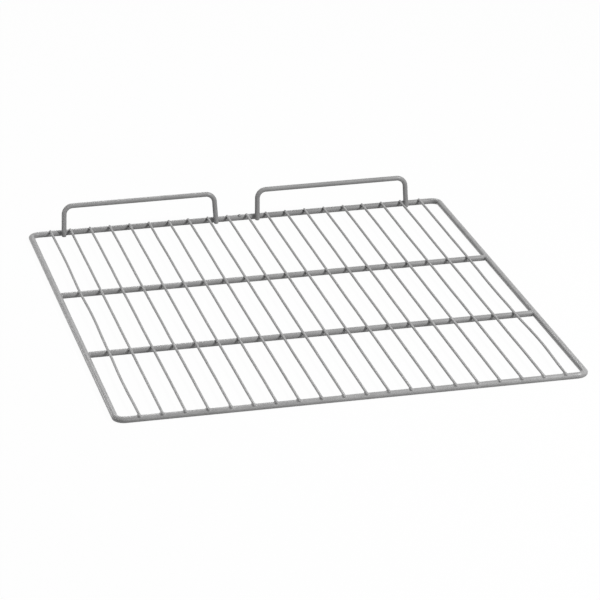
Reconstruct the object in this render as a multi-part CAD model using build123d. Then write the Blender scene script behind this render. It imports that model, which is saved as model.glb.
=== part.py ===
from build123d import *
import math
import os

# Coated wire shelf: a bent rod frame with two cross bars, a deck of thin wires and two back stops.
# X runs to the right, Y to the rear and Z up. The origin is under the middle of the shelf, on the
# plane that the frame rests on. Every diameter is measured over the coating.

# Driving sizes in millimetres
shelf_width = 530.0  # outside of the side rods
shelf_depth = 650.0  # outside of the front and rear rods
shelf_height = 43.0  # underside of the frame to the top of the back stops
frame_rod_diameter = 7.2
frame_bend_radius = 11.0  # centre line of the corner bends
cross_bar_diameter = 7.0
cross_bar_drop = 0.1  # tops of the bars below the top of the frame, so that their ends don't feather
front_bay = 205.0  # front rod to front bar, between centre lines
middle_bay = 205.0  # front bar to rear bar, between centre lines
deck_wire_diameter = 3.0
deck_wire_count = 20
wire_weld_sink = 1.0  # how far a deck wire is pressed into the frame when it is welded
wire_rear_setback = 0.8  # wire ends short of the centre line of the rear rod
wire_front_wrap = 50.0  # degrees that the front end bends down over the front rod
wire_end_flat = 1.0  # flat left in the middle of a rounded wire end
left_wire_rear_bow = 0.9  # sideways bows of the two outer wires, a minus is to the left
left_wire_middle_bow = 1.3
left_wire_front_bow = -1.1
right_wire_middle_bow = -1.0
right_wire_front_bow = 2.0
closing_bead_radius = 2.2  # bead of the weld that closes the frame rod
closing_bead_rise = 1.9  # above the rear rod
closing_bead_offset = 3.5  # right of the middle of the rear rod
closing_bead_lean = 28.0  # degrees from the top of the rod towards the front
back_stop_diameter = 6.2
back_stop_bend_radius = 11.0  # centre line of the upper bends
back_stop_outer_gap = 2  # the outer leg stands in this gap of the deck, counted from the side rod
back_stop_leg_inset = 3.1  # legs stand this far inside the middles of their gaps
back_stop_weld_sink = 0.5
back_stop_leg_clearance = 0.3  # leg ends above the underside of the frame
back_stop_end_flat = 2.4  # flat left in the middle of a rounded leg end
back_stop_left_splay = 2.8  # degrees that the legs spread towards their ends
back_stop_right_splay = 1.8
back_stop_left_shift = 0.6  # both legs of a stop stand this far to the right of their places
back_stop_right_shift = -2.7

# Radii and centre lines that follow from the driving sizes
frame_rod_radius = frame_rod_diameter / 2
cross_bar_radius = cross_bar_diameter / 2
deck_wire_radius = deck_wire_diameter / 2
back_stop_radius = back_stop_diameter / 2
side_rod_x = shelf_width / 2 - frame_rod_radius
rear_rod_y = shelf_depth / 2 - frame_rod_radius
front_bar_y = front_bay - rear_rod_y
rear_bar_y = front_bar_y + middle_bay
rod_axis_z = frame_rod_radius
bar_axis_z = frame_rod_diameter - cross_bar_drop - cross_bar_radius
deck_gap_count = deck_wire_count + 1
deck_pitch = 2 * side_rod_x / deck_gap_count
back_stop_inner_gap = deck_wire_count // 2
wire_axis_z = frame_rod_diameter - wire_weld_sink + deck_wire_radius
wire_wrap_radius = wire_axis_z - rod_axis_z


def swept_rod(path, radius):
    section = Plane(origin=path @ 0, z_dir=path % 0) * Circle(radius)
    return sweep(section, path=path)


def rounded_ends(rod, diameter, flat):
    end_faces = rod.faces().filter_by(GeomType.PLANE)
    return fillet(end_faces.edges(), (diameter - flat) / 2)


def perimeter_frame():
    outline = RectangleRounded(2 * side_rod_x, 2 * rear_rod_y, frame_bend_radius)
    path = Pos(0, 0, rod_axis_z) * outline.wire()
    bead_reach = frame_rod_radius + closing_bead_rise - closing_bead_radius
    bead_y = rear_rod_y - bead_reach * math.sin(math.radians(closing_bead_lean))
    bead_z = rod_axis_z + bead_reach * math.cos(math.radians(closing_bead_lean))
    bead = Pos(closing_bead_offset, bead_y, bead_z) * Sphere(closing_bead_radius)
    return swept_rod(path, frame_rod_radius) + bead


def cross_bar(bar_y, frame):
    bar = Pos(0, bar_y, bar_axis_z) * Rot(0, 90, 0) * Cylinder(cross_bar_radius, 2 * side_rod_x)
    return bar - frame


def bowed_run(start, end, bow):
    # Three tangent arcs of one radius: out by half the bow, over the top, and back in line
    if bow == 0:
        return [Line(start, end)]
    quarter = (end - start).length / 4
    turn = math.degrees(2 * math.atan(bow / 2 / quarter))
    radius = quarter / math.sin(math.radians(abs(turn)))
    along = (end - start).normalized()
    first = JernArc(start, along, radius, turn)
    second = JernArc(first @ 1, first % 1, radius, -2 * turn)
    third = JernArc(second @ 1, second % 1, radius, turn)
    return [first, second, third]


def deck_wire_path(wire_x, bows):
    # The bows are those of the rear, the middle and the front bay
    weld_ys = [rear_rod_y - wire_rear_setback, rear_bar_y, front_bar_y, -rear_rod_y]
    welds = [Vector(wire_x, weld_y, wire_axis_z) for weld_y in weld_ys]
    front_rod = Plane(origin=(wire_x, -rear_rod_y, rod_axis_z), x_dir=(0, 0, 1), z_dir=(1, 0, 0))
    wrap = front_rod * CenterArc((0, 0), wire_wrap_radius, 0, wire_front_wrap)
    if not any(bows):
        return Wire([Line(welds[0], welds[-1]), wrap])
    runs = []
    for start, end, bow in zip(welds, welds[1:], bows):
        runs += bowed_run(start, end, bow)
    return Wire([*runs, wrap])


def deck_wire(wire_x, bows, carriers):
    path = deck_wire_path(wire_x, bows)
    wire = swept_rod(path, deck_wire_radius)
    wire = rounded_ends(wire, deck_wire_diameter, wire_end_flat)
    for carrier in carriers:
        wire = wire - carrier
    return wire


def gap_middle_x(gap_number):
    return side_rod_x - gap_number * deck_pitch + deck_pitch / 2


def back_stop(side, splay, shift, frame):
    outer_x = gap_middle_x(back_stop_outer_gap) - back_stop_leg_inset
    inner_x = gap_middle_x(back_stop_inner_gap) + back_stop_leg_inset
    leg_y = rear_rod_y - frame_rod_radius - back_stop_radius + back_stop_weld_sink
    top_z = shelf_height - back_stop_radius
    lean = (top_z - rod_axis_z) * math.tan(math.radians(splay))
    foot = (rod_axis_z - back_stop_leg_clearance) * math.tan(math.radians(splay))
    corners = [
        (side * (outer_x + foot) + shift, leg_y, back_stop_leg_clearance),
        (side * (outer_x - lean) + shift, leg_y, top_z),
        (side * (inner_x + lean) + shift, leg_y, top_z),
        (side * (inner_x - foot) + shift, leg_y, back_stop_leg_clearance),
    ]
    path = FilletPolyline(*corners, radius=back_stop_bend_radius)
    stop = swept_rod(path, back_stop_radius)
    stop = rounded_ends(stop, back_stop_diameter, back_stop_end_flat)
    return stop - frame


def shelf_pieces():
    frame = perimeter_frame()
    bars = {
        "cross_bar_front": cross_bar(front_bar_y, frame),
        "cross_bar_rear": cross_bar(rear_bar_y, frame),
    }
    pieces = {"perimeter_frame": frame, **bars}
    carriers = [frame, *bars.values()]
    wire_bows = {number: (0, 0, 0) for number in range(1, deck_wire_count + 1)}
    wire_bows[1] = (left_wire_rear_bow, left_wire_middle_bow, left_wire_front_bow)
    wire_bows[deck_wire_count] = (0, right_wire_middle_bow, right_wire_front_bow)
    for number, bows in wire_bows.items():
        wire_x = number * deck_pitch - side_rod_x
        pieces[f"deck_wire_{number:02d}"] = deck_wire(wire_x, bows, carriers)
    pieces["back_stop_left"] = back_stop(-1, back_stop_left_splay, back_stop_left_shift, frame)
    pieces["back_stop_right"] = back_stop(1, back_stop_right_splay, back_stop_right_shift, frame)
    return pieces


os.makedirs("parts", exist_ok=True)
for name, piece in shelf_pieces().items():
    export_step(piece, f"parts/{name}.step")
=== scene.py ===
import math

import bmesh
import bpy
import numpy as np
from mathutils import Matrix, Vector, noise


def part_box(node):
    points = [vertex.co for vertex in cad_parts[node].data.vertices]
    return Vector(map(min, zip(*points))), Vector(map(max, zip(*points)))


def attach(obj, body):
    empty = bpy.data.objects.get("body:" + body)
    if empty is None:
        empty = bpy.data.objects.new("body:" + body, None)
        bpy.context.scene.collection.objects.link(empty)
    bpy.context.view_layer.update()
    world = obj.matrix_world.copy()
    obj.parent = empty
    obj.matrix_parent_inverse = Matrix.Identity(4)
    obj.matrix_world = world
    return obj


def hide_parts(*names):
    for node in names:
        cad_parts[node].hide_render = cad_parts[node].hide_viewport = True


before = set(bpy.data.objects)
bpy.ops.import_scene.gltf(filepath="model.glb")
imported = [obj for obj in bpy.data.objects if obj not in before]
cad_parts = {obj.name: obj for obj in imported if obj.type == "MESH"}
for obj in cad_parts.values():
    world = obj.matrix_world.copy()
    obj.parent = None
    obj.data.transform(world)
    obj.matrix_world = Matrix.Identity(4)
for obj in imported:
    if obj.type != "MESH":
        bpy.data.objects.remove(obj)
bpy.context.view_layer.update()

scene = bpy.context.scene
scene.view_settings.view_transform = "Standard"
mm = 0.001


# Node helpers


def addNode(tree, kind, **settings):
    node = tree.nodes.new(kind)
    for key, value in settings.items():
        setattr(node, key, value)
    return node


def mathNode(tree, operation, *values):
    # Each value is an output to link or a plain number
    sums = addNode(tree, "ShaderNodeMath", operation=operation)
    for socket, value in zip(sums.inputs, values):
        if isinstance(value, bpy.types.NodeSocket):
            tree.links.new(value, socket)
        else:
            socket.default_value = value
    return sums.outputs[0]


def rangeNode(tree, value, given, wanted):
    remap = addNode(tree, "ShaderNodeMapRange")
    for name, number in zip(("From Min", "From Max", "To Min", "To Max"), (*given, *wanted)):
        remap.inputs[name].default_value = number
    tree.links.new(value, remap.inputs["Value"])
    return remap.outputs["Result"]


# Grey coating


coating = {
    "paleGrey": (0.350, 0.349, 0.349, 1),
    "deepGrey": (0.300, 0.299, 0.299, 1),
    "cloudScale": 34,              # soft uneven tone, per metre
    "cloudDetail": 4,
    "cloudRange": (0.35, 0.65),    # the part of the noise that goes from deep to pale
    "fleckScale": 900,             # fine specks in the coat
    "fleckShare": 0.18,            # how far a speck shifts the tone
    "peelScale": 620,              # orange peel of the cured coat
    "peelDepth": 0.015 * mm,
    "swellScale": 75,              # long slow unevenness of the coat's thickness
    "swellDepth": 0.12 * mm,
    "fineDetail": 2,               # for the specks, the peel and the swell
    "fineRange": (0.3, 0.7),
    "roughness": (0.25, 0.32),
    "specular": 0.35,
}


def noiseNode(tree, coords, scale, detail):
    grain = addNode(tree, "ShaderNodeTexNoise")
    grain.inputs["Scale"].default_value = scale
    grain.inputs["Detail"].default_value = detail
    tree.links.new(coords, grain.inputs["Vector"])
    return grain.outputs["Fac"]


def bumpNode(tree, height, depth, under=None):
    bump = addNode(tree, "ShaderNodeBump")
    bump.inputs["Strength"].default_value = 1
    bump.inputs["Distance"].default_value = depth
    tree.links.new(height, bump.inputs["Height"])
    if under is not None:
        tree.links.new(under, bump.inputs["Normal"])
    return bump.outputs["Normal"]


def makeCoating(spec):
    material = bpy.data.materials.new("greyCoating")
    material.use_nodes = True
    tree = material.node_tree
    link = tree.links.new
    shader = tree.nodes["Principled BSDF"]
    coords = addNode(tree, "ShaderNodeTexCoord").outputs["Object"]
    cloud = noiseNode(tree, coords, spec["cloudScale"], spec["cloudDetail"])
    fleck = noiseNode(tree, coords, spec["fleckScale"], spec["fineDetail"])
    peel = noiseNode(tree, coords, spec["peelScale"], spec["fineDetail"])
    swell = noiseNode(tree, coords, spec["swellScale"], spec["fineDetail"])

    # Tone: slow clouds with a little fleck over them
    cloudPart = rangeNode(tree, cloud, spec["cloudRange"], (0, 1))
    fleckPart = rangeNode(tree, fleck, spec["fineRange"], (-spec["fleckShare"], spec["fleckShare"]))
    colour = addNode(tree, "ShaderNodeMix", data_type="RGBA")
    colour.inputs["A"].default_value = spec["deepGrey"]
    colour.inputs["B"].default_value = spec["paleGrey"]
    link(mathNode(tree, "ADD", cloudPart, fleckPart), colour.inputs["Factor"])
    link(colour.outputs["Result"], shader.inputs["Base Color"])

    # Gloss, broken up by the swell and the orange peel
    link(rangeNode(tree, swell, spec["fineRange"], spec["roughness"]), shader.inputs["Roughness"])
    swelled = bumpNode(tree, swell, spec["swellDepth"])
    link(bumpNode(tree, peel, spec["peelDepth"], swelled), shader.inputs["Normal"])
    shader.inputs["Specular IOR Level"].default_value = spec["specular"]
    return material


greyCoating = makeCoating(coating)
print("coating ready")


# Rods and wires swept along their paths by Geometry Nodes


coatSweep = {
    "wanderScale": 7,       # slow sideways drift of a wire, per metre
    "rippleScale": 60,      # uneven thickness of the coat along a rod, per metre
    "noiseDetail": 1,
    "endRings": 6,          # rings that round an end
    "endClearance": 1.2,    # plain points keep this many rounding radii off an end
}


def treeSocket(tree, name, kind, into=True):
    item = tree.interface.new_socket(name=name, in_out="INPUT" if into else "OUTPUT", socket_type=kind)
    return item.identifier


def seededNoise(tree, place, seed, scale):
    grain = addNode(tree, "ShaderNodeTexNoise", noise_dimensions="4D")
    grain.inputs["Scale"].default_value = scale
    grain.inputs["Detail"].default_value = coatSweep["noiseDetail"]
    tree.links.new(place, grain.inputs["Vector"])
    tree.links.new(seed, grain.inputs["W"])
    return grain


def pointValue(tree, name):
    stored = addNode(tree, "GeometryNodeInputNamedAttribute", data_type="FLOAT")
    stored.inputs["Name"].default_value = name
    return stored.outputs["Attribute"]


def finishTree(tree, shape, coat):
    realised = addNode(tree, "GeometryNodeRealizeInstances")
    tree.links.new(shape, realised.inputs["Geometry"])
    dressed = addNode(tree, "GeometryNodeSetMaterial")
    tree.links.new(realised.outputs["Geometry"], dressed.inputs["Geometry"])
    tree.links.new(coat, dressed.inputs["Material"])
    tree.links.new(dressed.outputs["Geometry"], addNode(tree, "NodeGroupOutput").inputs[0])


def makeRodTree():
    tree = bpy.data.node_groups.new("coatedRod", "GeometryNodeTree")
    treeSocket(tree, "Path", "NodeSocketGeometry")
    ids = {
        "radius": treeSocket(tree, "Rod Radius", "NodeSocketFloat"),
        "sides": treeSocket(tree, "Sides", "NodeSocketInt"),
        "ripple": treeSocket(tree, "Coat Ripple", "NodeSocketFloat"),
        "wander": treeSocket(tree, "Wander", "NodeSocketFloat"),
        "seed": treeSocket(tree, "Seed", "NodeSocketFloat"),
        "coat": treeSocket(tree, "Coating", "NodeSocketMaterial"),
    }
    treeSocket(tree, "Rod", "NodeSocketGeometry", into=False)
    link = tree.links.new
    given = addNode(tree, "NodeGroupInput").outputs
    place = addNode(tree, "GeometryNodeInputPosition").outputs["Position"]
    curve = addNode(tree, "GeometryNodeMeshToCurve")
    link(given["Path"], curve.inputs["Mesh"])

    # A wire wanders a little sideways between its welds
    drift = seededNoise(tree, place, given["Seed"], coatSweep["wanderScale"])
    centred = addNode(tree, "ShaderNodeVectorMath", operation="SUBTRACT")
    centred.inputs[1].default_value = (0.5, 0.5, 0.5)
    link(drift.outputs["Color"], centred.inputs[0])
    shift = addNode(tree, "ShaderNodeVectorMath", operation="SCALE")
    link(centred.outputs[0], shift.inputs[0])
    link(mathNode(tree, "MULTIPLY", pointValue(tree, "loose"), given["Wander"]), shift.inputs["Scale"])
    moved = addNode(tree, "GeometryNodeSetPosition")
    link(curve.outputs["Curve"], moved.inputs["Geometry"])
    link(shift.outputs[0], moved.inputs["Offset"])

    # The coat's thickness ripples along the rod, and the ends are rounded
    grain = seededNoise(tree, place, given["Seed"], coatSweep["rippleScale"])
    swing = mathNode(tree, "MULTIPLY_ADD", grain.outputs["Fac"], 2, -1)
    swell = mathNode(tree, "MULTIPLY_ADD", swing, given["Coat Ripple"], 1)
    thickness = mathNode(tree, "MULTIPLY", pointValue(tree, "taper"), swell)

    section = addNode(tree, "GeometryNodeCurvePrimitiveCircle", mode="RADIUS")
    link(given["Sides"], section.inputs["Resolution"])
    link(given["Rod Radius"], section.inputs["Radius"])
    tube = addNode(tree, "GeometryNodeCurveToMesh")
    tube.inputs["Fill Caps"].default_value = True
    link(moved.outputs["Geometry"], tube.inputs["Curve"])
    link(section.outputs["Curve"], tube.inputs["Profile Curve"])
    link(thickness, tube.inputs["Scale"])
    smooth = addNode(tree, "GeometryNodeSetShadeSmooth")
    link(tube.outputs["Mesh"], smooth.inputs["Geometry"])
    finishTree(tree, smooth.outputs["Geometry"], given["Coating"])
    return tree, ids


rodTree, rodInputs = makeRodTree()


def pointHolder(points, edges=(), **attributes):
    mesh = bpy.data.meshes.new("path")
    mesh.from_pydata([tuple(point) for point in points], edges, [])
    for name, values in attributes.items():
        mesh.attributes.new(name, "FLOAT", "POINT").data.foreach_set("value", values)
    holder = bpy.data.objects.new("path", mesh)
    scene.collection.objects.link(holder)
    return holder


def meshPiece(mesh, name):
    mesh.name = name
    if not mesh.materials:
        mesh.materials.append(greyCoating)
    piece = bpy.data.objects.new(name, mesh)
    scene.collection.objects.link(piece)
    return piece


def bakeNodes(holder, tree, values, name):
    modifier = holder.modifiers.new("build", "NODES")
    modifier.node_group = tree
    for identifier, value in values.items():
        modifier[identifier] = value
    graph = bpy.context.evaluated_depsgraph_get()
    mesh = bpy.data.meshes.new_from_object(holder.evaluated_get(graph), depsgraph=graph)
    holder.modifiers.remove(modifier)
    bpy.data.objects.remove(holder)
    return meshPiece(mesh, name)


def coatedRod(name, points, spec, seed, taper=None, loose=None, closed=False):
    count = len(points)
    edges = [(i, i + 1) for i in range(count - 1)]
    if closed:
        edges.append((count - 1, 0))
    holder = pointHolder(points, edges, taper=taper or [1.0] * count, loose=loose or [0.0] * count)
    values = {
        rodInputs["radius"]: spec["diameter"] / 2,
        rodInputs["sides"]: spec["sides"],
        rodInputs["ripple"]: spec["ripple"],
        rodInputs["wander"]: spec.get("wander", 0.0),
        rodInputs["seed"]: seed,
        rodInputs["coat"]: greyCoating,
    }
    return bakeNodes(holder, rodTree, values, name)


def runPoints(start, end, step):
    count = max(2, int((end - start).length / step))
    return [start.lerp(end, i / count) for i in range(count)]


def bendPoint(centre, first, second, turn):
    return centre + first * math.cos(turn) + second * math.sin(turn)


def bendPoints(centre, first, second, angle, count):
    return [bendPoint(centre, first, second, angle * i / count) for i in range(count)]


def roundedEnds(points, diameter, flat):
    # Rings close to each end, thinner towards it, leave a rounded end with a small flat
    radius = diameter / 2
    edge = (diameter - flat) / 2
    rings = coatSweep["endRings"]
    turns = [math.pi / 2 * i / rings for i in range(rings + 1)]
    depths = [edge * (1 - math.cos(turn)) for turn in turns]
    sizes = [(flat / 2 + edge * math.sin(turn)) / radius for turn in turns]
    start = points[0]
    end = points[-1]
    clear = edge * coatSweep["endClearance"]
    body = [point for point in points if min((point - start).length, (point - end).length) > clear]
    startDome = [start + (points[1] - start).normalized() * depth for depth in depths]
    endDome = [end + (points[-2] - end).normalized() * depth for depth in reversed(depths)]
    return startDome + body + endDome, sizes + [1.0] * len(body) + sizes[::-1]


# Frame rod, bent into a closed rounded rectangle


frameRod = {
    "diameter": 7.2 * mm,
    "bendRadius": 11 * mm,    # centre line of the corner bends
    "bendTurns": 14,          # points along a bend
    "sides": 32,              # faces round the rod
    "step": 6 * mm,           # between the points of a straight run
    "ripple": 0.008,          # unevenness of the coat, as a share of the radius
    "seed": 1.0,
}
frameLow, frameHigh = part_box("perimeter_frame")
rodRadius = frameRod["diameter"] / 2
rodAxisZ = frameLow.z + rodRadius
sideX = frameHigh.x - rodRadius
rearY = frameHigh.y - rodRadius
print("side rods at", round(sideX / mm, 1), "mm and rear rod at", round(rearY / mm, 1), "mm")


def framePoints():
    bend = frameRod["bendRadius"]
    corners = [(1, 1), (-1, 1), (-1, -1), (1, -1)]
    centres = [Vector((x * (sideX - bend), y * (rearY - bend), rodAxisZ)) for x, y in corners]
    points = []
    for index, centre in enumerate(centres):
        turned = Matrix.Rotation(index * math.pi / 2, 3, "Z")
        first = turned @ Vector((bend, 0, 0))
        second = turned @ Vector((0, bend, 0))
        following = centres[(index + 1) % len(centres)]
        points += bendPoints(centre, first, second, math.pi / 2, frameRod["bendTurns"])
        points += runPoints(centre + second, following + second, frameRod["step"])
    return points


perimeterFrame = coatedRod(
    "perimeter_frame_coated", framePoints(), frameRod, frameRod["seed"], closed=True)
print("frame swept,", len(perimeterFrame.data.polygons), "faces")


# Cross bars, from side rod to side rod


crossBar = {"sides": 32, "step": 6 * mm, "ripple": 0.008, "frontSeed": 3.0, "rearSeed": 5.0}


def barAxis(node):
    low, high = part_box(node)
    return Vector((0, (low.y + high.y) / 2, (low.z + high.z) / 2)), high.y - low.y


def makeBar(node, seed):
    axis, diameter = barAxis(node)
    start = axis - Vector((sideX, 0, 0))
    end = axis + Vector((sideX, 0, 0))
    points = runPoints(start, end, crossBar["step"]) + [end]
    return coatedRod(node + "_coated", points, dict(crossBar, diameter=diameter), seed)


frontBar = makeBar("cross_bar_front", crossBar["frontSeed"])
rearBar = makeBar("cross_bar_rear", crossBar["rearSeed"])
frontBarAxis, barDiameter = barAxis("cross_bar_front")
rearBarAxis, _ = barAxis("cross_bar_rear")
barRadius = barDiameter / 2
print("cross bars swept")


# Deck wires, front ends bent down over the front rod


deckWire = {
    "sides": 20,
    "step": 5 * mm,
    "endFlat": 1 * mm,
    "frontWrap": math.radians(50),
    "wrapTurns": 8,
    "ripple": 0.015,
    "wander": 1.1 * mm,     # full width of the sideways drift
    "weldHold": 60 * mm,    # a wire is free to drift from this far off its welds
    "seed": 11.0,           # of the first wire
    # Sideways bows of the outer wires in the rear, middle and front bay
    "bows": {
        "deck_wire_01": (0.9 * mm, 1.3 * mm, -1.1 * mm),
        "deck_wire_20": (0.0, -1.0 * mm, 2.0 * mm),
    },
    "straight": (0.0, 0.0, 0.0),
}
wireNodes = sorted(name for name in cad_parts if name.startswith("deck_wire_"))
wirePitch = 2 * sideX / (len(wireNodes) + 1)
wireXs = [number * wirePitch - sideX for number in range(1, len(wireNodes) + 1)]
plainLow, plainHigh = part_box(wireNodes[1])
deckWire["diameter"] = plainHigh.x - plainLow.x
wireRadius = deckWire["diameter"] / 2
wireAxisZ = plainHigh.z - wireRadius
wireRearY = plainHigh.y
weldPlaces = [wireRearY, rearBarAxis.y, frontBarAxis.y, -rearY]


def wirePath(wireX, bows):
    start = Vector((wireX, wireRearY, wireAxisZ))
    end = Vector((wireX, -rearY, wireAxisZ))
    points = runPoints(start, end, deckWire["step"])
    for bow, bayRear, bayFront in zip(bows, weldPlaces, weldPlaces[1:]):
        for point in points:
            if bayFront < point.y <= bayRear:
                share = (bayRear - point.y) / (bayRear - bayFront)
                point.x += bow * (1 - math.cos(2 * math.pi * share)) / 2
    lift = wireAxisZ - rodAxisZ
    wrap = (Vector((wireX, -rearY, rodAxisZ)), Vector((0, 0, lift)), Vector((0, -lift, 0)))
    points += bendPoints(*wrap, deckWire["frontWrap"], deckWire["wrapTurns"])
    return points + [bendPoint(*wrap, deckWire["frontWrap"])]


def looseness(points):
    # Nothing at the welds, most in the middle of each bay
    gaps = [min(abs(point.y - weldY) for weldY in weldPlaces) for point in points]
    return [min(1.0, (gap / deckWire["weldHold"]) ** 2) for gap in gaps]


def makeWire(node, wireX, seed):
    path = wirePath(wireX, deckWire["bows"].get(node, deckWire["straight"]))
    points, taper = roundedEnds(path, deckWire["diameter"], deckWire["endFlat"])
    return coatedRod(node + "_coated", points, deckWire, seed, taper, looseness(points))


deckPieces = {}
for index, wireNode in enumerate(wireNodes):
    deckPieces[wireNode] = makeWire(wireNode, wireXs[index], deckWire["seed"] + index)
print(len(deckPieces), "deck wires swept")


# Back stops, bent rods on the inner side of the rear rod


backStop = {
    "sides": 30,
    "step": 5 * mm,
    "bendRadius": 11 * mm,
    "bendTurns": 12,
    "endFlat": 2.4 * mm,
    "ripple": 0.01,
    "seeds": {"back_stop_left": 40.0, "back_stop_right": 41.0},
    "splays": {"back_stop_left": math.radians(2.8), "back_stop_right": math.radians(1.8)},
}


def stopCorners(node):
    # The legs spread downwards, so their ends are the outer limits of the box
    low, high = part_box(node)
    diameter = high.y - low.y
    splay = backStop["splays"][node]
    axisY = (low.y + high.y) / 2
    footZ = low.z
    topZ = high.z - diameter / 2
    lean = (topZ - footZ) * math.tan(splay)
    left = low.x + diameter / 2 / math.cos(splay)
    right = high.x - diameter / 2 / math.cos(splay)
    corners = [(left, footZ), (left + lean, topZ), (right - lean, topZ), (right, footZ)]
    return [Vector((x, axisY, z)) for x, z in corners], diameter


def filletedPath(corners):
    radius = backStop["bendRadius"]
    step = backStop["step"]
    points = []
    start = corners[0]
    for before, corner, after in zip(corners, corners[1:], corners[2:]):
        into = (corner - before).normalized()
        out = (after - corner).normalized()
        angle = into.angle(out)
        setback = radius * math.tan(angle / 2)
        bendStart = corner - into * setback
        inward = (out - into * into.dot(out)).normalized()
        centre = bendStart + inward * radius
        points += runPoints(start, bendStart, step)
        points += bendPoints(centre, -inward * radius, into * radius, angle, backStop["bendTurns"])
        start = corner + out * setback
    return points + runPoints(start, corners[-1], step) + [corners[-1]]


def makeStop(node):
    corners, diameter = stopCorners(node)
    points, taper = roundedEnds(filletedPath(corners), diameter, backStop["endFlat"])
    spec = dict(backStop, diameter=diameter)
    return coatedRod(node + "_coated", points, spec, backStop["seeds"][node], taper)


stopPieces = {stopNode: makeStop(stopNode) for stopNode in backStop["splays"]}
print("back stops swept")


# Coating that fills the corner where one rod is welded to another


weldCoat = {
    "turns": 40,                    # sections of a fillet, round its joint
    "steps": 5,                     # faces across a fillet
    "sink": 0.03 * mm,              # edges of a fillet lie this far inside the rods
    "rootDepth": 0.3 * mm,          # its hidden root lies deeper
    "rootSpread": 0.4,              # keeps the root near where the rods meet at a fine angle
    "searchReach": 14 * mm,         # how far the ball rolls from the middle of a joint
    "searchSteps": 560,
    "roundLimit": 0.95 * math.pi,   # and how far round the rod
    "crossing": (0.12 * mm, 0.18 * mm, 0.25 * mm),   # fillet radii, one of the three at each weld
    "rearEnd": (0.12 * mm, 0.18 * mm, 0.25 * mm),
    "frontEnd": (1.8 * mm, 2.2 * mm, 2.6 * mm),
    "barEnd": 1.6 * mm,
    "stopLeg": 1.0 * mm,
    "bead": 0.6 * mm,
    "rodRun": 40 * mm,              # length of a rod that a fillet takes into account
    "endInset": 0.85,               # middle of a rounded wire end, in wire radii
    "smoothAngle": math.radians(50),
    "seed": 7,
}
filletSizes = ("small", "middle", "large")
tiny = 1e-9


def toThinRod(points, chain, radius):
    # Distance to the thinner rod's surface, and the direction away from it
    best = np.full(len(points), np.inf)
    away = np.zeros_like(points)
    for start, end in zip(chain[:-1], chain[1:]):
        run = end - start
        along = np.clip((points - start) @ run / max(run @ run, tiny ** 2), 0, 1)
        gap = points - (start + along[:, None] * run)
        length = np.linalg.norm(gap, axis=1)
        closer = length < best
        best = np.where(closer, length, best)
        away[closer] = gap[closer] / np.maximum(length[closer], tiny)[:, None]
    return best - radius, away


def rollBall(joint, angle, web):
    # A ball of the fillet's radius rolls over the carrier rod, from the middle of the joint outwards,
    # until it comes free of the thinner rod. There it touches both.
    middle, axis, outward = (np.array(joint[key], float) for key in ("middle", "axis", "outward"))
    travel = np.linspace(0, weldCoat["searchReach"], weldCoat["searchSteps"] + 1)
    turn = travel * math.sin(angle) / joint["carrierRadius"]
    inReach = np.abs(turn) < weldCoat["roundLimit"]
    travel = travel[inReach]
    turn = turn[inReach]
    normal = np.cos(turn)[:, None] * outward + np.sin(turn)[:, None] * np.cross(axis, outward)
    ball = middle + (travel * math.cos(angle))[:, None] * axis + normal * (joint["carrierRadius"] + web)
    chain = [np.array(point, float) for point in joint["chain"]]
    gap, away = toThinRod(ball, chain, joint["thinRadius"])
    free = np.nonzero(gap >= web)[0]
    stop = free[0] if len(free) else -1
    return ball[stop], -away[stop], -normal[stop]


def filletSection(centre, toThin, toCarrier, web):
    # The near side of the ball is the coating's surface, and the root closes the section
    spread = math.acos(max(-1.0, min(1.0, float(toThin @ toCarrier))))
    steps = weldCoat["steps"]
    section = []
    for step in range(steps + 1):
        share = step / steps
        push = math.sin((1 - share) * spread) * toThin + math.sin(share * spread) * toCarrier
        depth = web + (weldCoat["sink"] if step in (0, steps) else 0)
        section.append(centre + push / math.sin(spread) * depth)
    rootReach = (web + weldCoat["rootDepth"]) / max(weldCoat["rootSpread"], 1 + math.cos(spread))
    section.append(centre + (toThin + toCarrier) * rootReach)
    return section


def weldFillet(joint, web):
    turns = weldCoat["turns"]
    contacts = [rollBall(joint, 2 * math.pi * turn / turns, web) for turn in range(turns)]
    return [filletSection(*contact, web) for contact in contacts]


def filletMesh(name, fillets):
    verts = []
    faces = []
    for rings in fillets:
        base = len(verts)
        size = len(rings[0])
        verts += [tuple(point) for ring in rings for point in ring]
        for ring in range(len(rings)):
            here = base + ring * size
            there = base + (ring + 1) % len(rings) * size
            for i in range(size):
                j = (i + 1) % size
                faces.append((here + i, here + j, there + j, there + i))
    mesh = bpy.data.meshes.new(name)
    mesh.from_pydata(verts, [], faces)
    mesh.validate()
    work = bmesh.new()
    work.from_mesh(mesh)
    bmesh.ops.recalc_face_normals(work, faces=work.faces)
    work.to_mesh(mesh)
    work.free()
    mesh.shade_smooth()
    mesh.set_sharp_from_angle(angle=weldCoat["smoothAngle"])
    return mesh


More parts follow.
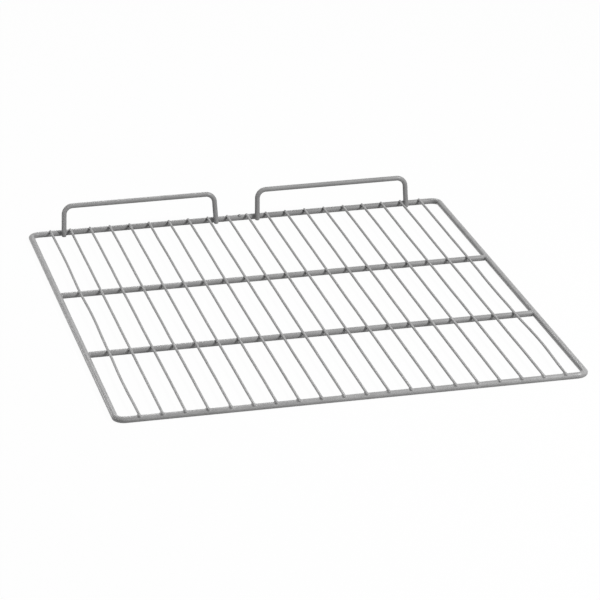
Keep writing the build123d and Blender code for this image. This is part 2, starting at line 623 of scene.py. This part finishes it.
def makeWeldTree():
    # The fillets of one kind of joint, one of three sizes at each point
    tree = bpy.data.node_groups.new("weldRow", "GeometryNodeTree")
    treeSocket(tree, "Joints", "NodeSocketGeometry")
    ids = {}
    for size in filletSizes:
        ids[size] = treeSocket(tree, size.capitalize() + " Fillet", "NodeSocketObject")
    ids["seed"] = treeSocket(tree, "Seed", "NodeSocketInt")
    ids["coat"] = treeSocket(tree, "Coating", "NodeSocketMaterial")
    treeSocket(tree, "Welds", "NodeSocketGeometry", into=False)
    link = tree.links.new
    given = addNode(tree, "NodeGroupInput").outputs
    choices = addNode(tree, "GeometryNodeJoinGeometry")
    for size in reversed(filletSizes):
        info = addNode(tree, "GeometryNodeObjectInfo", transform_space="ORIGINAL")
        info.inputs["As Instance"].default_value = True
        link(given[size.capitalize() + " Fillet"], info.inputs["Object"])
        link(info.outputs["Geometry"], choices.inputs["Geometry"])
    pick = addNode(tree, "FunctionNodeRandomValue", data_type="INT")
    pick.inputs[4].default_value = 0                      # lowest and highest whole number
    pick.inputs[5].default_value = len(filletSizes) - 1
    link(given["Seed"], pick.inputs["Seed"])
    placed = addNode(tree, "GeometryNodeInstanceOnPoints")
    placed.inputs["Pick Instance"].default_value = True
    link(given["Joints"], placed.inputs["Points"])
    link(choices.outputs["Geometry"], placed.inputs["Instance"])
    link(pick.outputs[2], placed.inputs["Instance Index"])
    finishTree(tree, placed.outputs["Instances"], given["Coating"])
    return tree, ids


weldTree, weldInputs = makeWeldTree()


def weldRow(name, places, joint, webs, seed):
    # The joint is that of a wire over a carrier rod along X, whose axis goes through the origin
    joint = dict(joint, middle=(0, 0, 0), axis=(1, 0, 0), thinRadius=wireRadius)
    values = {weldInputs["seed"]: seed, weldInputs["coat"]: greyCoating}
    patterns = []
    for size, web in zip(filletSizes, webs):
        pattern = meshPiece(filletMesh(name + "_" + size, [weldFillet(joint, web)]), name + "_" + size)
        values[weldInputs[size]] = pattern
        patterns.append(pattern)
    row = bakeNodes(pointHolder(places), weldTree, values, name)
    for pattern in patterns:
        bpy.data.objects.remove(pattern)
    return row


def barWelds():
    lift = wireAxisZ - frontBarAxis.z
    run = weldCoat["rodRun"]
    joint = {"outward": (0, 0, 1), "carrierRadius": barRadius, "chain": [(0, -run, lift), (0, run, lift)]}
    places = [Vector((x, axis.y, axis.z)) for axis in (frontBarAxis, rearBarAxis) for x in wireXs]
    return weldRow("bar_welds", places, joint, weldCoat["crossing"], weldCoat["seed"])


def rearEndWelds():
    # The wires stop short of the rod's top, so the middle of the joint leans to the front
    lift = wireAxisZ - rodAxisZ
    end = wireRearY - rearY - weldCoat["endInset"] * wireRadius
    lean = math.atan2(-end, lift)
    joint = {
        "outward": (0, -math.sin(lean), math.cos(lean)),
        "carrierRadius": rodRadius,
        "chain": [(0, -weldCoat["rodRun"], lift), (0, end, lift)],
    }
    places = [Vector((x, rearY, rodAxisZ)) for x in wireXs]
    return weldRow("rear_end_welds", places, joint, weldCoat["rearEnd"], weldCoat["seed"] + 1)


def frontEndWelds():
    lift = wireAxisZ - rodAxisZ
    wrapEnd = deckWire["frontWrap"] - weldCoat["endInset"] * wireRadius / lift
    count = deckWire["wrapTurns"]
    turns = [wrapEnd * i / count for i in range(count + 1)]
    wrap = [(0, -lift * math.sin(turn), lift * math.cos(turn)) for turn in turns]
    joint = {
        "outward": (0, 0, 1),
        "carrierRadius": rodRadius,
        "chain": [(0, weldCoat["rodRun"], lift), *wrap],
    }
    places = [Vector((x, -rearY, rodAxisZ)) for x in wireXs]
    return weldRow("front_end_welds", places, joint, weldCoat["frontEnd"], weldCoat["seed"] + 2)


def barEndWelds():
    fillets = []
    for axis in (frontBarAxis, rearBarAxis):
        for side in (-1, 1):
            end = Vector((side * sideX, axis.y, rodAxisZ))
            inward = Vector((-side, 0, 0))
            joint = {
                "middle": end, "axis": (0, 1, 0), "outward": inward, "carrierRadius": rodRadius,
                "chain": [end, end + inward * weldCoat["rodRun"]], "thinRadius": barRadius,
            }
            fillets.append(weldFillet(joint, weldCoat["barEnd"]))
    return meshPiece(filletMesh("bar_end_welds", fillets), "bar_end_welds")


def stopLegWelds():
    fillets = []
    for node in stopPieces:
        corners, diameter = stopCorners(node)
        for foot, top in ((corners[0], corners[1]), (corners[3], corners[2])):
            up = (top - foot).normalized()
            crossing = foot + up * ((rodAxisZ - foot.z) / up.z)
            joint = {
                "middle": (crossing.x, rearY, rodAxisZ), "axis": (1, 0, 0), "outward": (0, -1, 0),
                "carrierRadius": rodRadius,
                "chain": [foot + up * diameter / 2, top], "thinRadius": diameter / 2,
            }
            fillets.append(weldFillet(joint, weldCoat["stopLeg"]))
    return meshPiece(filletMesh("stop_leg_welds", fillets), "stop_leg_welds")


weldPieces = [barWelds(), rearEndWelds(), frontEndWelds(), barEndWelds(), stopLegWelds()]
print(len(weldPieces), "rows of welds coated")


# Bead of the weld that closes the frame rod, joined to the frame


closingBead = {
    "radius": 2.2 * mm,
    "rise": 1.9 * mm,            # above the rear rod
    "x": 3.5 * mm,
    "lean": math.radians(28),    # from the top of the rod towards the front
    "lumps": 0.12 * mm,
    "lumpScale": 420,            # per metre
    "detail": 4,
}


def addBead(frameMesh):
    radius = closingBead["radius"]
    lean = closingBead["lean"]
    middle = Vector((closingBead["x"], rearY, rodAxisZ))
    outward = Vector((0, -math.sin(lean), math.cos(lean)))
    heart = middle + outward * (rodRadius + closingBead["rise"] - radius)
    work = bmesh.new()
    work.from_mesh(frameMesh)
    ball = bmesh.ops.create_icosphere(work, subdivisions=closingBead["detail"], radius=radius)["verts"]
    for vert in ball:
        swell = noise.noise(vert.co * closingBead["lumpScale"]) - 0.5
        vert.co += vert.co.normalized() * closingBead["lumps"] * swell + heart
    joint = {
        "middle": middle, "axis": (1, 0, 0), "outward": outward, "carrierRadius": rodRadius,
        "chain": [heart, heart], "thinRadius": radius,
    }
    foot = filletMesh("bead_fillet", [weldFillet(joint, weldCoat["bead"])])
    work.from_mesh(foot)
    bpy.data.meshes.remove(foot)
    for face in work.faces:
        face.smooth = True
    work.to_mesh(frameMesh)
    work.free()


addBead(perimeterFrame.data)
print("closing bead joined to the frame")


# Camera at the photograph's viewing angle


cameraPlace = {
    "lens": 198.67,    # lens and sensor in millimetres, distances in metres
    "sensor": 36,
    "azimuth": math.radians(-12.169),
    "elevation": math.radians(19.643),
    "roll": math.radians(1.103),
    "distance": 3.8742,
    "aim": (0.01032, -0.00049, 0.0036),
    "farClip": 50,
}


def facing(direction):
    return direction.to_track_quat("-Z", "Y").to_matrix().to_4x4()


def placeCamera(spec):
    data = bpy.data.cameras.new("camera")
    data.lens = spec["lens"]
    data.sensor_width = spec["sensor"]
    data.clip_end = spec["farClip"]
    camera = bpy.data.objects.new("camera", data)
    scene.collection.objects.link(camera)
    level = Vector((math.sin(spec["azimuth"]), -math.cos(spec["azimuth"]), 0))
    back = level * math.cos(spec["elevation"]) + Vector((0, 0, math.sin(spec["elevation"])))
    place = Matrix.Translation(Vector(spec["aim"]) + back * spec["distance"])
    camera.matrix_world = place @ facing(-back) @ Matrix.Rotation(-spec["roll"], 4, "Z")
    scene.camera = camera


placeCamera(cameraPlace)
print("camera placed")


# Studio: white floor, soft lamps, white surroundings


studio = {
    "floorSize": 14.0,
    "floorGrey": 0.9,      # as seen
    "bounceGrey": 0.45,    # for the light that the floor throws back up
    "floorGlow": 0.97,     # share of plain white in the seen floor, the rest takes the shadow
    "ambient": 0.025,
    # Places and sizes in metres, power in watts
    "lamps": [
        {"name": "keyLamp", "at": (1.4, -1.35, 1.9), "size": (0.45, 0.45), "power": 56},
        {"name": "highLamp", "at": (0.0, 0.2, 1.9), "size": (0.6, 0.6), "power": 7.4},
        {"name": "rearLamp", "at": (0.0, 1.4, 1.2), "size": (0.5, 0.5), "power": 6.3},
    ],
    # Low lamps, which would draw bright bands on the floor and leave it out
    "lowLamps": [
        {"name": "sideLamp", "at": (-0.45, 0.0, 0.06), "size": (0.8, 0.06), "power": 0.38},
        {"name": "frontLamp", "at": (0.05, -0.6, 0.06), "size": (0.7, 0.06), "power": 0.36},
    ],
}
white = (1, 1, 1, 1)


def seenDirectly(tree):
    # 1 for rays from the camera, and for reflected and refracted ones
    rays = addNode(tree, "ShaderNodeLightPath").outputs
    seen = rays["Is Camera Ray"]
    for name in ("Is Glossy Ray", "Is Transmission Ray"):
        seen = mathNode(tree, "MAXIMUM", seen, rays[name])
    return seen


def mixedSurface(tree, share, first, second, outputKind):
    mix = addNode(tree, "ShaderNodeMixShader")
    tree.links.new(share, mix.inputs["Fac"])
    tree.links.new(first.outputs[0], mix.inputs[1])
    tree.links.new(second.outputs[0], mix.inputs[2])
    tree.links.new(mix.outputs[0], addNode(tree, outputKind).inputs["Surface"])


def floorPaper(spec):
    material = bpy.data.materials.new("floorPaper")
    material.use_nodes = True
    tree = material.node_tree
    tree.nodes.clear()
    seen = seenDirectly(tree)
    tint = addNode(tree, "ShaderNodeMix", data_type="RGBA")
    for name, grey in (("A", spec["bounceGrey"]), ("B", spec["floorGrey"])):
        tint.inputs[name].default_value = (grey, grey, grey, 1)
    tree.links.new(seen, tint.inputs["Factor"])
    paper = addNode(tree, "ShaderNodeBsdfDiffuse")
    tree.links.new(tint.outputs["Result"], paper.inputs["Color"])
    glow = addNode(tree, "ShaderNodeEmission")
    share = mathNode(tree, "MULTIPLY", seen, spec["floorGlow"])
    mixedSurface(tree, share, paper, glow, "ShaderNodeOutputMaterial")
    return material


def makeFloor(spec):
    half = spec["floorSize"] / 2
    corners = [(-half, -half, 0), (half, -half, 0), (half, half, 0), (-half, half, 0)]
    mesh = bpy.data.meshes.new("floor")
    mesh.from_pydata(corners, [], [(0, 1, 2, 3)])
    mesh.materials.append(floorPaper(spec))
    floor = bpy.data.objects.new("floor", mesh)
    scene.collection.objects.link(floor)
    return floor


def makeWorld(spec):
    world = bpy.data.worlds.new("studio")
    world.use_nodes = True
    tree = world.node_tree
    tree.nodes.clear()
    soft = addNode(tree, "ShaderNodeBackground")
    soft.inputs["Color"].default_value = white
    soft.inputs["Strength"].default_value = spec["ambient"]
    backdrop = addNode(tree, "ShaderNodeBackground")
    backdrop.inputs["Color"].default_value = white
    mixedSurface(tree, seenDirectly(tree), soft, backdrop, "ShaderNodeOutputWorld")
    scene.world = world


def makeLamp(spec):
    data = bpy.data.lights.new(spec["name"], "AREA")
    data.shape = "RECTANGLE"
    data.size, data.size_y = spec["size"]
    data.energy = spec["power"]
    lamp = bpy.data.objects.new(spec["name"], data)
    lamp.visible_camera = False
    at = Vector(spec["at"])
    lamp.matrix_world = Matrix.Translation(at) @ facing(-at)
    scene.collection.objects.link(lamp)
    return lamp


def makeLamps(spec, floor):
    leftOut = bpy.data.collections.new("floorLeftOut")
    leftOut.objects.link(floor)
    leftOut.collection_objects[0].light_linking.link_state = "EXCLUDE"
    for lampSpec in spec["lamps"]:
        makeLamp(lampSpec)
    for lampSpec in spec["lowLamps"]:
        makeLamp(lampSpec).light_linking.receiver_collection = leftOut


studioFloor = makeFloor(studio)
makeWorld(studio)
makeLamps(studio, studioFloor)
print("studio ready")


# Bodies: each piece goes under the root body, and the CAD parts it replaces are hidden


def settle(piece, *nodes):
    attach(piece, "root")
    if nodes:
        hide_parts(*nodes)


settle(perimeterFrame, "perimeter_frame")
settle(frontBar, "cross_bar_front")
settle(rearBar, "cross_bar_rear")
for pieceNode, rodPiece in {**deckPieces, **stopPieces}.items():
    settle(rodPiece, pieceNode)
for weldPiece in weldPieces:
    settle(weldPiece)
